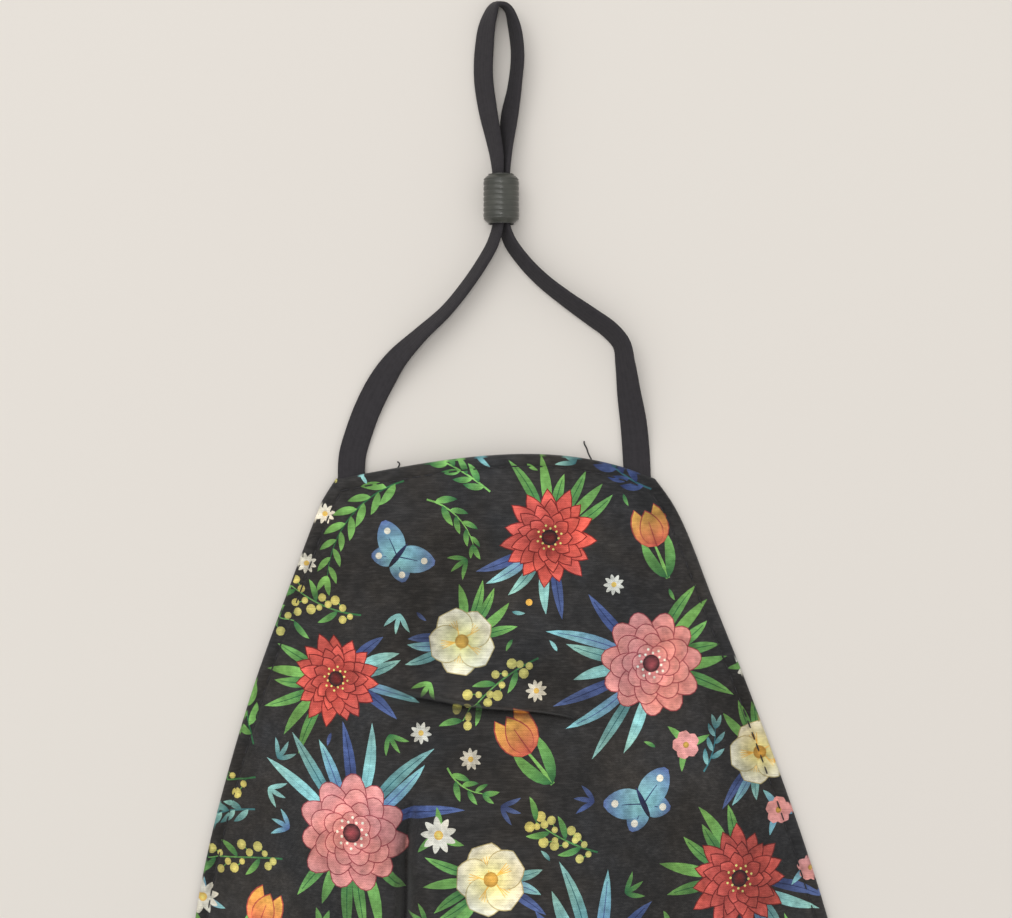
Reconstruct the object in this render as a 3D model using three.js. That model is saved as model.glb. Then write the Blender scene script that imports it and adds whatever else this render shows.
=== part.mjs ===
// A cloth face mask with flat elastic ear loops, lying face up on a table with both loops laid out straight.
// Two cloth panels, each a domed wall with a flat hem, meet at the centre seam. An ear loop leaves the two corners of
// each ear edge, runs through a ribbed cord lock and ends in a finger loop beyond it.
// Millimetres. +Z is up from the table, +Y runs from the centre seam to one ear edge and +X from the nose edge to the
// chin edge. The origin is under the middle of the body, on the table.
import * as THREE from "three";

// The body: both panels together
const PANEL_LENGTH = 113.0; // from the centre seam to the corners of an ear edge
const BODY_WIDTH = 139.6; // from the nose edge to the chin edge, at the centre seam
const EAR_EDGE_WIDTH = 67.0; // from corner to corner
const EAR_EDGE_SHIFT = -5.2; // where the ear edge's middle lies, off the body's middle
const EAR_EDGE_ARCH = 5.3; // how far the ear edge bows out past its corners
const EAR_EDGE_LEAN = 0.2; // how far the top of that bow leans to the chin edge, as a share of the half width
const CROWN_HEIGHT = 31.0; // the top of the centre seam above the table
const PEAK_SHIFT = 0.1; // how far the crown leans to the nose edge, as a share of the half width
const CLOTH_THICKNESS = 1.6; // all layers together
const HEM_THICKNESS = 2.0; // the turned edge, with its extra fold of cloth
const HEM_WIDTH = 2.6; // from the edge to the topstitching
const HEM_TURN = 3.6; // how much of the turned edge lies flat on the table
const EDGE_ROUNDING = 0.5;
const SEAM_GAP = 0.3; // between the two panels

// The ear loops and their cord locks
const ELASTIC_WIDTH = 5.7;
const ELASTIC_THICKNESS = 1.1;
const SQUEEZED_WIDTH = 3.6; // of a strand inside the cord lock
const STRAND_GAP = 0.4; // between the two strands inside the cord lock
const STRAND_TILT = 60; // degrees that both strands stand up off the table there
const CLEARANCE = 0.3; // round the strands in the cord lock, and between an ear loop's end and its ear edge
const LOCK_WALL = 1.18;
const LOCK_LENGTH = 10.3;
const LOCK_DISTANCE = 53.1; // from the ear edge's corners to the near end of the cord lock
const LOCK_AXIS_X = -4.0;
const LOCK_CHAMFER = 0.7;
const RIB_COUNT = 7;
const GROOVE_DEPTH = 0.45;
const GROOVE_SHARE = 0.45; // of the ribs' pitch

const LOCK_BORE = Math.hypot(SQUEEZED_WIDTH, 2 * ELASTIC_THICKNESS + STRAND_GAP) + 2 * CLEARANCE;
const LOCK_DIAMETER = LOCK_BORE + 2 * LOCK_WALL;

// How finely the solids are drawn
const RISE_WIDTH = 2.4; // from the topstitching to the outer face's first station on the rise
const LAP_START = 1.4; // from there to the inner face's first station
const LOCK_SIDES = 20;
const STRAP_STEPS = 76;
const SAMPLE = 1e-3; // the step over which a slope is taken

// Across each panel's plan, from the centre seam (0) to the ear edge's corners (1). nose and chin say how much of the
// widening from the ear edge to the centre seam each side has reached, crown is a share of CROWN_HEIGHT.
const SECTIONS = [
  { along: 0.0, nose: 1.0, chin: 1.0, crown: 1.0 },
  { along: 0.186, nose: 0.945, chin: 0.87, crown: 0.885 },
  { along: 0.329, nose: 0.845, chin: 0.748, crown: 0.765 },
  { along: 0.478, nose: 0.704, chin: 0.606, crown: 0.61 },
  { along: 0.627, nose: 0.539, chin: 0.454, crown: 0.455 },
  { along: 0.775, nose: 0.346, chin: 0.293, crown: 0.31 },
  { along: 0.924, nose: 0.143, chin: 0.132, crown: 0.205 },
  { along: 0.961, nose: 0.089, chin: 0.077, crown: 0.185 },
  { along: 1.0, nose: 0.0, chin: 0.0, crown: 0.165 },
];

// Valleys in the cloth. x is a share of half BODY_WIDTH, y of PANEL_LENGTH, depth of CROWN_HEIGHT and reach, the
// valley's half width, of half BODY_WIDTH. start and end say how deep it is at its two ends.
const LEFT_FOLDS = [
  { x1: -0.42, y1: 0.598, x2: 0.134, y2: 0.559, depth: 0.075, reach: 0.062, start: 0.15, end: 0.35 },
  { x1: -0.323, y1: 0.385, x2: -0.365, y2: 0.0, depth: 0.095, reach: 0.05, start: 0.35, end: 1.0 },
  { x1: 0.3, y1: 0.52, x2: 0.5, y2: 0.3, depth: 0.035, reach: 0.12, start: 0.2, end: 0.2 },
];
const RIGHT_FOLDS = [
  { x1: -0.365, y1: 0.0, x2: -0.385, y2: 0.2, depth: 0.095, reach: 0.05, start: 1.0, end: 0.15 },
  { x1: 0.25, y1: 0.6, x2: -0.2, y2: 0.52, depth: 0.045, reach: 0.1, start: 0.2, end: 0.2 },
];

// Where the walls' sections and stations lie: closer together at the folds.
const ROWS = [
  0, 0.03, 0.075, 0.13, 0.19, 0.25, 0.305, 0.35, 0.39, 0.43, 0.475, 0.515, 0.545, 0.572, 0.598, 0.63, 0.67, 0.72,
  0.78, 0.84, 0.9, 0.945, 0.975, 1,
];
const STATIONS = [
  0, 0.06, 0.12, 0.18, 0.225, 0.26, 0.29, 0.315, 0.34, 0.37, 0.41, 0.46, 0.52, 0.58, 0.65, 0.72, 0.79, 0.86, 0.93, 1,
];

// One ear loop, from the nose-side corner to the cord lock. x is measured from the cord lock's axis and y from the ear
// edge's corners. width is a share of ELASTIC_WIDTH. roll, in degrees, turns the band about its own run: 0 is flat on
// the table and 90 is on edge.
const NOSE_STRAP = [
  { x: -31.4, y: -0.4, z: 1.0, width: 1, roll: 0 },
  { x: -31.2, y: 4.8, z: 0.8, width: 1, roll: 0 },
  { x: -29.8, y: 9.9, z: 0.6, width: 1, roll: 3 },
  { x: -27.9, y: 14.9, z: 0.9, width: 1, roll: 8 },
  { x: -25.3, y: 20.0, z: 1.4, width: 1, roll: 16 },
  { x: -21.9, y: 25.0, z: 2.3, width: 0.98, roll: 36 },
  { x: -16.9, y: 30.1, z: 2.9, width: 0.95, roll: 55 },
  { x: -11.5, y: 35.1, z: 3.0, width: 0.88, roll: 61 },
  { x: -7.4, y: 40.1, z: 3.1, width: 0.84, roll: 62 },
  { x: -3.9, y: 45.2, z: 3.4, width: 0.79, roll: 61 },
  { x: -1.7, y: 49.2, z: 3.9, width: 0.735, roll: 60 },
];

// The finger loop beyond the cord lock, from its nose-side strand round to its chin-side strand.
const FINGER_LOOP = [
  { x: -0.9, y: 67.2, z: 3.6, width: 0.755, roll: 57 },
  { x: -1.6, y: 71.2, z: 3.1, width: 0.84, roll: 54 },
  { x: -2.8, y: 77.1, z: 2.7, width: 0.93, roll: 50 },
  { x: -3.7, y: 83.8, z: 2.6, width: 0.98, roll: 50 },
  { x: -3.5, y: 90.5, z: 2.6, width: 0.98, roll: 50 },
  { x: -2.6, y: 96.0, z: 2.8, width: 0.965, roll: 58 },
  { x: -0.9, y: 99.1, z: 2.9, width: 0.965, roll: 74 },
  { x: 1.1, y: 98.4, z: 2.9, width: 0.965, roll: 92 },
  { x: 2.5, y: 95.2, z: 2.8, width: 0.965, roll: 108 },
  { x: 3.4, y: 88.8, z: 2.7, width: 0.93, roll: 115 },
  { x: 2.8, y: 82.0, z: 2.6, width: 0.88, roll: 120 },
  { x: 1.7, y: 75.6, z: 2.5, width: 0.83, roll: 134 },
  { x: 1.0, y: 68.4, z: 3.0, width: 0.755, roll: 120 },
];

// From the cord lock back to the chin-side corner.
const CHIN_STRAP = [
  { x: 1.8, y: 49.6, z: 3.0, width: 0.735, roll: 120 },
  { x: 4.3, y: 46.0, z: 2.8, width: 0.79, roll: 119 },
  { x: 8.3, y: 41.8, z: 2.7, width: 0.84, roll: 119 },
  { x: 13.6, y: 37.6, z: 2.7, width: 0.88, roll: 121 },
  { x: 18.7, y: 34.0, z: 2.7, width: 0.93, roll: 124 },
  { x: 22.8, y: 31.0, z: 2.7, width: 0.965, roll: 124 },
  { x: 25.1, y: 28.2, z: 2.6, width: 0.98, roll: 123 },
  { x: 25.9, y: 24.0, z: 2.4, width: 1, roll: 128 },
  { x: 26.7, y: 18.0, z: 1.9, width: 1, roll: 142 },
  { x: 27.7, y: 11.6, z: 1.3, width: 1, roll: 160 },
  { x: 28.3, y: 5.0, z: 0.8, width: 1, roll: 176 },
  { x: 28.6, y: -0.4, z: 1.0, width: 1, roll: 180 },
];

const materials = {
  cloth: new THREE.MeshStandardMaterial({ color: 0x2b292c, roughness: 0.9, metalness: 0 }),
  elastic: new THREE.MeshStandardMaterial({ color: 0x2e2b30, roughness: 0.85, metalness: 0 }),
  rubber: new THREE.MeshStandardMaterial({ color: 0x3b3c37, roughness: 0.35, metalness: 0 }),
};

const clamp = THREE.MathUtils.clamp;
const lerp = THREE.MathUtils.lerp;

// The value of one column of a table at a place along it, on a smooth curve through the rows.
function column(rows, along, place, name) {
  const last = rows.length - 2;
  let i = rows.findIndex((row, k) => k > 0 && place <= row[along]) - 1;
  i = i < 0 ? last : Math.min(i, last);
  const secant = (k) => (rows[k + 1][name] - rows[k][name]) / (rows[k + 1][along] - rows[k][along]);
  const slope = (k) => (secant(Math.max(k - 1, 0)) + secant(Math.min(k, last))) / 2;
  const step = rows[i + 1][along] - rows[i][along];
  const t = (place - rows[i][along]) / step;
  return (
    rows[i][name] * (1 + 2 * t) * (1 - t) ** 2 +
    rows[i + 1][name] * t * t * (3 - 2 * t) +
    step * (slope(i) * t * (1 - t) ** 2 - slope(i + 1) * t * t * (1 - t))
  );
}

// A closed solid through rings of equally many points. In each ring, point 0 and the point halfway round are its two
// edges, and the others face each other in pairs, which closes the ends.
function loft(rings) {
  const count = rings[0].length;
  const half = count / 2;
  const corner = (ring, i) => ring * count + (i % count);
  const faces = [];
  for (let ring = 0; ring + 1 < rings.length; ring++)
    for (let i = 0; i < count; i++) {
      const [a, b, c, d] = [corner(ring, i), corner(ring, i + 1), corner(ring + 1, i + 1), corner(ring + 1, i)];
      faces.push(a, b, c, a, c, d);
    }
  for (const [ring, flip] of [[0, false], [rings.length - 1, true]])
    for (let i = 0; i < half; i++) {
      const quad = [corner(ring, i), corner(ring, i + 1), corner(ring, count - i - 1), corner(ring, count - i)];
      const triangles = [[quad[0], quad[1], quad[2]], [quad[0], quad[2], quad[3]]];
      for (const t of triangles)
        if (new Set(t).size === 3) faces.push(...(flip ? t : [t[0], t[2], t[1]]));
    }
  const geometry = new THREE.BufferGeometry().setFromPoints(rings.flat());
  geometry.setIndex(faces);
  return geometry;
}

// The two side edges and the crown of the body at a share of the way from the centre seam to the ear edge.
function sectionAt(along) {
  const earNose = EAR_EDGE_SHIFT - EAR_EDGE_WIDTH / 2;
  const earChin = EAR_EDGE_SHIFT + EAR_EDGE_WIDTH / 2;
  return {
    nose: lerp(earNose, -BODY_WIDTH / 2, column(SECTIONS, "along", along, "nose")),
    chin: lerp(earChin, BODY_WIDTH / 2, column(SECTIONS, "along", along, "chin")),
    crown: CROWN_HEIGHT * column(SECTIONS, "along", along, "crown"),
  };
}

// How far a fold pulls the cloth down at a point of the plan.
function foldDepth(fold, x, y) {
  const [x1, x2] = [(fold.x1 * BODY_WIDTH) / 2, (fold.x2 * BODY_WIDTH) / 2];
  const [y1, y2] = [fold.y1 * PANEL_LENGTH, fold.y2 * PANEL_LENGTH];
  const length = Math.hypot(x2 - x1, y2 - y1);
  const run = ((x - x1) * (x2 - x1) + (y - y1) * (y2 - y1)) / (length * length);
  const share = clamp(run, 0, 1);
  const away = Math.hypot(x - lerp(x1, x2, share), y - lerp(y1, y2, share));
  const reach = (fold.reach * BODY_WIDTH) / 2;
  const deepest = Math.sin(Math.PI * share) * (1 - Math.max(fold.start, fold.end)) + lerp(fold.start, fold.end, share);
  return fold.depth * CROWN_HEIGHT * Math.min(deepest, 1) * Math.exp(-((away / reach) ** 2));
}

// How far the ear edge bows out past its corners. across runs from -1 at the nose edge to 1 at the chin edge.
function earEdgeBow(across) {
  const leaning = across - EAR_EDGE_LEAN * (1 - across * across);
  return EAR_EDGE_ARCH * (1 - leaning * leaning);
}

// A point of the cloth's outer face, with across as above.
function outerFace(along, across, folds) {
  const { nose, chin, crown } = sectionAt(along);
  const half = (chin - nose) / 2;
  const x = (nose + chin) / 2 + across * half;
  const y = SEAM_GAP / 2 + along * (PANEL_LENGTH - SEAM_GAP / 2 + earEdgeBow(across));
  const leaning = across + PEAK_SHIFT * (1 - across * across);
  const inward = half * (1 - Math.abs(leaning)) - HEM_WIDTH;
  const rise = Math.sin((Math.PI / 2) * clamp(inward / (half - HEM_WIDTH), 0, 1));
  const fold = folds.reduce((sum, f) => sum + foldDepth(f, x, y), 0);
  return new THREE.Vector3(x, y, HEM_THICKNESS + (crown - HEM_THICKNESS) * rise - fold * rise);
}

// The point of the cloth's inner face behind a point of its outer face.
function innerFace(along, across, folds) {
  const point = outerFace(along, across, folds);
  const [a1, a2] = [Math.max(along - SAMPLE, 0), Math.min(along + SAMPLE, 1)];
  const lengthwise = outerFace(a2, across, folds).sub(outerFace(a1, across, folds));
  const crosswise = outerFace(along, across + SAMPLE, folds).sub(outerFace(along, across - SAMPLE, folds));
  const normal = crosswise.cross(lengthwise);
  if (along === 0) normal.y = 0; // so that the end at the centre seam is flat
  return point.addScaledVector(normal.normalize(), -CLOTH_THICKNESS);
}

// One ring round the cloth wall: its outer face from the nose edge to the chin edge, then its inner face back.
function panelRing(along, folds) {
  const { nose, chin } = sectionAt(along);
  const half = (chin - nose) / 2;
  const hemPoint = (across, z) => outerFace(along, across, folds).setZ(z);
  const stations = (start) => STATIONS.map((s) => lerp(-1 + start / half, 1 - start / half, s));
  const [rounded, stitched] = [1 - EDGE_ROUNDING / half, 1 - HEM_WIDTH / half];
  const turned = 1 - HEM_TURN / half;
  const outer = stations(HEM_WIDTH + RISE_WIDTH).map((across) => outerFace(along, across, folds));
  const inner = stations(HEM_WIDTH + RISE_WIDTH + LAP_START).map((across) => innerFace(along, across, folds));
  return [
    hemPoint(-1, HEM_THICKNESS / 2),
    hemPoint(-rounded, HEM_THICKNESS),
    hemPoint(-stitched, HEM_THICKNESS),
    ...outer,
    hemPoint(stitched, HEM_THICKNESS),
    hemPoint(rounded, HEM_THICKNESS),
    hemPoint(1, HEM_THICKNESS / 2),
    hemPoint(rounded, 0),
    hemPoint(turned, 0),
    ...inner.reverse(),
    hemPoint(-turned, 0),
    hemPoint(-rounded, 0),
  ];
}

function panel(name, folds) {
  const rings = ROWS.map((along) => panelRing(along, folds));
  const mesh = new THREE.Mesh(loft(rings), materials.cloth);
  mesh.name = name;
  return mesh;
}

// Where the ear edge lies along Y at a place across it.
function earEdgeY(x) {
  const across = clamp((x - EAR_EDGE_SHIFT) / (EAR_EDGE_WIDTH / 2), -1, 1);
  return PANEL_LENGTH + earEdgeBow(across);
}

// The two rows where a strand goes straight through the cord lock. side is -1 for the nose-side strand, which leads
// away from the mask, and 1 for the chin-side strand, which leads back.
function throughLock(side) {
  const tilt = THREE.MathUtils.degToRad(STRAND_TILT);
  const apart = (ELASTIC_THICKNESS + STRAND_GAP) / 2;
  const row = {
    x: side * apart * Math.sin(tilt),
    z: LOCK_DIAMETER / 2 - side * apart * Math.cos(tilt),
    width: SQUEEZED_WIDTH / ELASTIC_WIDTH,
    roll: side < 0 ? STRAND_TILT : 180 - STRAND_TILT,
  };
  const ends = [LOCK_DISTANCE, LOCK_DISTANCE + LOCK_LENGTH].map((y) => ({ ...row, y }));
  return side < 0 ? ends : ends.reverse();
}

// The height at which a band with this width and roll rests on the table.
function restingHeight(width, roll) {
  return (width / 2) * Math.abs(Math.sin(roll)) + (ELASTIC_THICKNESS / 2) * Math.abs(Math.cos(roll));
}

function earLoop(nodeName) {
  const rows = [...NOSE_STRAP, ...throughLock(-1), ...FINGER_LOOP, ...throughLock(1), ...CHIN_STRAP].map((row) => ({
    ...row,
    x: LOCK_AXIS_X + row.x,
    y: PANEL_LENGTH + row.y,
    width: ELASTIC_WIDTH * row.width,
  }));
  let run = 0;
  rows.forEach((row, i) => {
    const before = rows[Math.max(i - 1, 0)];
    run += Math.hypot(row.x - before.x, row.y - before.y, row.z - before.z);
    row.run = run;
  });
  const at = (place, names) => names.map((name) => column(rows, "run", clamp(place, 0, run), name));
  const pointAt = (place) => new THREE.Vector3(...at(place, ["x", "y", "z"]));
  const rings = [];
  for (let step = 0; step <= STRAP_STEPS; step++) {
    const place = (run * step) / STRAP_STEPS;
    const centre = pointAt(place);
    const tangent = pointAt(place + SAMPLE).sub(pointAt(place - SAMPLE)).normalize();
    const [width, degrees] = at(place, ["width", "roll"]);
    const roll = THREE.MathUtils.degToRad(degrees);
    centre.z = Math.max(centre.z, restingHeight(width, roll));
    const level = tangent.clone().cross(new THREE.Vector3(0, 0, 1)).normalize();
    const upright = level.clone().cross(tangent);
    const broad = level.clone().multiplyScalar(Math.cos(roll)).addScaledVector(upright, Math.sin(roll));
    const thin = broad.clone().cross(tangent);
    const [w, t] = [width / 2, ELASTIC_THICKNESS / 2];
    const section = [[-w, 0], [-w + t, t], [0, t], [w - t, t], [w, 0], [w - t, -t], [0, -t], [-w + t, -t]];
    const ring = section.map(([u, v]) => centre.clone().addScaledVector(broad, u).addScaledVector(thin, v));
    if (step === 0 || step === STRAP_STEPS) ring.forEach((p) => (p.y = earEdgeY(p.x) + CLEARANCE));
    rings.push(ring);
  }
  const mesh = new THREE.Mesh(loft(rings), materials.elastic);
  mesh.name = nodeName;
  return mesh;
}

// A ribbed sleeve, turned about its own axis, with a through bore for the two strands.
function cordLock(name) {
  const [radius, end] = [LOCK_DIAMETER / 2, LOCK_LENGTH / 2];
  const pitch = (LOCK_LENGTH - 2 * LOCK_CHAMFER) / (RIB_COUNT - 1 + (1 - GROOVE_SHARE));
  const profile = [[LOCK_BORE / 2, end], [LOCK_BORE / 2, -end], [radius - LOCK_CHAMFER, -end]];
  let y = -end + LOCK_CHAMFER;
  profile.push([radius, y]);
  for (let rib = 1; rib < RIB_COUNT; rib++) {
    y += pitch * (1 - GROOVE_SHARE);
    profile.push([radius, y], [radius - GROOVE_DEPTH, y + (pitch * GROOVE_SHARE) / 2]);
    y += pitch * GROOVE_SHARE;
    profile.push([radius, y]);
  }
  profile.push([radius, end - LOCK_CHAMFER], [radius - LOCK_CHAMFER, end], [LOCK_BORE / 2, end]);
  const points = profile.map(([r, along]) => new THREE.Vector2(r, along));
  const mesh = new THREE.Mesh(new THREE.LatheGeometry(points, LOCK_SIDES), materials.rubber);
  mesh.name = name;
  mesh.position.set(LOCK_AXIS_X, PANEL_LENGTH + LOCK_DISTANCE + end, radius);
  return mesh;
}

// The wearer's left half, which lies along +Y
const left = new THREE.Group();
left.add(panel("left_panel", LEFT_FOLDS), earLoop("left_ear_loop"), cordLock("left_cord_lock"));

// The right half is its mirror image, apart from the folds
const right = new THREE.Group();
right.add(panel("right_panel", RIGHT_FOLDS), earLoop("right_ear_loop"), cordLock("right_cord_lock"));
right.scale.y = -1;

const mask = new THREE.Group();
mask.add(left, right);

export default mask;
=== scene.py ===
# A printed cloth face mask with flat elastic ear loops, lying face up on a pale surface and seen from above.
# Places and sizes are in millimetres in the functions below, and meshes are written in metres.
# +Z is up from the table, +Y runs from the centre seam to the ear edge that is seen, +X to the chin edge.
import math
import random

import bpy
import numpy as np
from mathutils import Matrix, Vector, noise
from mathutils.geometry import delaunay_2d_cdt


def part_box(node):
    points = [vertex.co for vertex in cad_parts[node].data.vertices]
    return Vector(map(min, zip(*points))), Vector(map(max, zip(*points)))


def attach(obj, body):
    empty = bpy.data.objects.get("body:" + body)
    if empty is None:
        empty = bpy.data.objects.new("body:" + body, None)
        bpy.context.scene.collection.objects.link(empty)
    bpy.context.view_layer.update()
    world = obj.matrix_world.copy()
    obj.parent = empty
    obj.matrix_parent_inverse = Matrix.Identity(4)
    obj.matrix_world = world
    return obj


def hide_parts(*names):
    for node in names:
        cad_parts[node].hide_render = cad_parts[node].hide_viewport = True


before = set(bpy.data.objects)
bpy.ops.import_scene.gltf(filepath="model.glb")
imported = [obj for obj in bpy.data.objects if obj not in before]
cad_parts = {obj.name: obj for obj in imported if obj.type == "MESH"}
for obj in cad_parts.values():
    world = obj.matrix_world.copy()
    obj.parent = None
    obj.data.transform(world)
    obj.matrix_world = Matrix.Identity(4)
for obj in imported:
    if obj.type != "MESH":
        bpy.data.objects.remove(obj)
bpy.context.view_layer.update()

MM = 0.001

# The camera, straight above the middle of the picture
VIEW_X = -3.0
VIEW_Y = 117.2
VIEW_HEIGHT = 420.0
VIEW_WIDTH = 212.5
SENSOR_WIDTH = 36.0

# The body. Its length, width and height come from the frame.
PANEL_LOW, PANEL_HIGH = [[v / MM for v in corner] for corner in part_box("left_panel")]
EAR_EDGE_ARCH = 5.3
EAR_EDGE_LEAN = 0.2
EAR_EDGE_WIDTH = 67.0
EAR_EDGE_SHIFT = -5.2
BODY_WIDTH = PANEL_HIGH[0] - PANEL_LOW[0]
PANEL_LENGTH = PANEL_HIGH[1] - EAR_EDGE_ARCH
CROWN_HEIGHT = PANEL_HIGH[2]
PEAK_SHIFT = 0.1
CLOTH_THICKNESS = 1.6
HEM_THICKNESS = 2.0
HEM_WIDTH = 2.6
HEM_TURN = 3.6
EDGE_ROUNDING = 0.45

# Across the panels' plan, from the centre seam to the corners of the ear edge: how much of the widening
# each side has reached, and the crown's share of its full height.
ALONG = [0.0, 0.186, 0.329, 0.478, 0.627, 0.775, 0.924, 0.961, 1.0]
NOSE = [1.0, 0.945, 0.845, 0.704, 0.539, 0.346, 0.143, 0.089, 0.0]
CHIN = [1.0, 0.87, 0.748, 0.606, 0.454, 0.293, 0.132, 0.077, 0.0]
CROWN = [1.0, 0.885, 0.765, 0.61, 0.455, 0.31, 0.205, 0.185, 0.165]

# Folds of the cloth: two ends, depth, the width at each end and the share of the depth there. A narrow one
# is a crease whose left side stands over its right.
LEFT_FOLDS = [
    ((-30.0, 69.0), (10.2, 64.2), 7.0, 1.6, 0.5, 0.2, 0.2),
    ((-25.5, 0.0), (-22.4, 46.5), 5.6, 0.6, 1.6, 0.6, 0.5),
    ((21.0, 58.8), (34.9, 33.9), 1.3, 6.0, 6.0, 0.2, 0.2),
    ((-44.0, 55.0), (-27.0, 78.0), 1.0, 5.0, 5.0, 0.2, 0.2),
    ((2.0, 88.0), (24.0, 92.0), 0.9, 4.0, 4.0, 0.2, 0.2),
]
RIGHT_FOLDS = [
    ((-25.5, 0.0), (-26.9, 24.0), 5.6, 0.6, 1.3, 0.6, 0.3),
    ((-14.0, 58.8), (17.4, 67.8), 4.0, 1.2, 0.6, 0.2, 0.2),
    ((30.0, 20.0), (42.0, 48.0), 1.2, 5.0, 5.0, 0.2, 0.2),
]
CREASE_WIDTH = 2.0
CREASE_WANDER = 0.4
CREASE_STEP = 0.27
CREASE_VALLEY = 0.95
CREASE_SIDES = (0.15, 0.35, 0.6, 0.9, 1.3, 1.9, 2.8, 4.2)
CREASE_LINES = (*(-v for v in reversed(CREASE_SIDES)), 0, *CREASE_SIDES)

# The cloth's fine relief: its puckers beside the hem and its unevenness, the grooves of the stitches, the
# swell and the rounding of the hem, and the same at the centre seam
PUCKERS = 0.42
WIDE_WAVES = 0.9
SMALL_WAVES = 0.3
STITCH_GROOVE = 0.42
HEM_SWELL = 0.22
EDGE_DROP = 0.28
SEAM_ROW = 4.2
SEAM_DROP = 1.1
SEAM_GROOVE = 0.35
SEAM_SWELL = 0.15
LEAST_HEIGHT = 0.9

# The stitches, and the mesh: how far apart the points of its outline are, how much of the ear edge's corners
# it leaves out, and how far in from the edges and from the seam it has lines for the relief
STITCH_PITCH = 2.55
STITCH_GAP = 0.55
STITCH_WIDTH = 0.34
OUTLINE_STEP = 1.5
EAR_CORNER = 1.2
HEM_LINES = (0.9, 1.4, 1.9, 2.2, 2.45, 2.7, 2.95, 3.4, 4.1, 5.0)
LINING_LINES = (HEM_TURN, 5.2, 6.8)
SEAM_LINES = (0.35, 0.8, 1.4, 2.2, 3.0, 3.6, 4.0, 4.4, 4.8, 5.6)

# The elastic and its cord lock
ELASTIC_WIDTH = 5.7
ELASTIC_THICKNESS = 1.1
SQUEEZED_SHARE = 0.632
STRAND_GAP = 0.4
STRAND_TILT = 60.0
SEWN_IN = 1.6
LOCK_LOW, LOCK_HIGH = [[v / MM for v in corner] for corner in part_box("left_cord_lock")]
LOCK_DIAMETER = LOCK_HIGH[2] - LOCK_LOW[2]
LOCK_LENGTH = LOCK_HIGH[1] - LOCK_LOW[1]
LOCK_AXIS_X = (LOCK_LOW[0] + LOCK_HIGH[0]) / 2
LOCK_BORE = 5.05
LOCK_ROUNDING = 1.05
BORE_ROUNDING = 0.2
RIB_COUNT = 7
RIB_MARGIN = 1.3
RIB_GROOVE = 0.13

# The ear loop's route, from its nose-side corner round to its chin-side corner. x is measured from the cord
# lock's axis and y from the ear edge's corners. The rest are z, the share of the elastic's width and its roll
# in degrees.
NOSE_STRAP = [
    (-31.4, -0.4, 1.0, 1.0, 0),
    (-31.2, 4.8, 0.8, 1.0, 0),
    (-29.8, 9.9, 0.6, 1.0, 3),
    (-27.9, 14.9, 0.9, 1.0, 8),
    (-25.3, 20.0, 1.4, 1.0, 16),
    (-21.9, 25.0, 2.3, 0.98, 36),
    (-16.9, 30.1, 2.9, 0.95, 55),
    (-11.5, 35.1, 3.0, 0.88, 61),
    (-7.4, 40.1, 3.1, 0.84, 62),
    (-3.9, 45.2, 3.4, 0.79, 61),
    (-1.7, 49.2, 3.9, 0.735, 60),
]
FINGER_LOOP = [
    (-0.9, 67.2, 3.6, 0.755, 57),
    (-1.6, 71.2, 3.1, 0.84, 54),
    (-2.8, 77.1, 2.7, 0.93, 50),
    (-3.7, 83.8, 2.6, 0.98, 50),
    (-3.5, 90.5, 2.6, 0.98, 50),
    (-2.6, 96.0, 2.8, 0.965, 58),
    (-0.9, 99.1, 2.9, 0.965, 74),
    (1.1, 98.4, 2.9, 0.965, 92),
    (2.5, 95.2, 2.8, 0.965, 108),
    (3.4, 88.8, 2.7, 0.93, 115),
    (2.8, 82.0, 2.6, 0.88, 120),
    (1.7, 75.6, 2.5, 0.83, 134),
    (1.0, 68.4, 3.0, 0.755, 120),
]
CHIN_STRAP = [
    (1.8, 49.6, 3.0, 0.735, 120),
    (4.3, 46.0, 2.8, 0.79, 119),
    (8.3, 41.8, 2.7, 0.84, 119),
    (13.6, 37.6, 2.7, 0.88, 121),
    (18.7, 34.0, 2.7, 0.93, 124),
    (22.8, 31.0, 2.7, 0.965, 124),
    (25.1, 28.2, 2.6, 0.98, 123),
    (25.9, 24.0, 2.4, 1.0, 128),
    (26.7, 18.0, 1.9, 1.0, 142),
    (27.7, 11.6, 1.3, 1.0, 160),
    (28.3, 5.0, 0.8, 1.0, 176),
    (28.6, -0.4, 1.0, 1.0, 180),
]


def linear(red, green, blue):
    """A display colour, 0 to 255, as the shader's linear one."""
    parts = [v / 255 for v in (red, green, blue)]
    return tuple(v / 12.92 if v <= 0.04045 else ((v + 0.055) / 1.055) ** 2.4 for v in parts)


# The print's inks
CHARCOAL = linear(46, 45, 45)
CORAL = linear(222, 100, 88)
DEEP_CORAL = linear(158, 50, 48)
PINK = linear(234, 160, 153)
ROSE = linear(190, 88, 96)
CREAM = linear(230, 227, 212)
STRAW = linear(176, 164, 120)
LEMON = linear(224, 216, 126)
AMBER = linear(230, 180, 84)
LEAF = linear(128, 188, 100)
DARK_LEAF = linear(44, 104, 64)
TEAL = linear(142, 194, 190)
AQUA = linear(142, 204, 206)
DEEP_TEAL = linear(58, 112, 120)
BLUE = linear(88, 108, 160)
DEEP_BLUE = linear(46, 57, 100)
INK = linear(28, 26, 30)


def smooth(knots, values, places):
    """A smooth curve through a table's values, at these places."""
    knots, values = np.asarray(knots, float), np.asarray(values, float)
    secants = np.diff(values) / np.diff(knots)
    ends = np.concatenate([secants[:1], secants, secants[-1:]])
    slopes = (ends[:-1] + ends[1:]) / 2
    i = np.clip(np.searchsorted(knots, places) - 1, 0, len(knots) - 2)
    step = knots[i + 1] - knots[i]
    t = (np.asarray(places) - knots[i]) / step
    ends_part = values[i] * (1 + 2 * t) * (1 - t) ** 2 + values[i + 1] * t * t * (3 - 2 * t)
    return ends_part + step * (slopes[i] * t * (1 - t) ** 2 - slopes[i + 1] * t * t * (1 - t))


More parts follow.
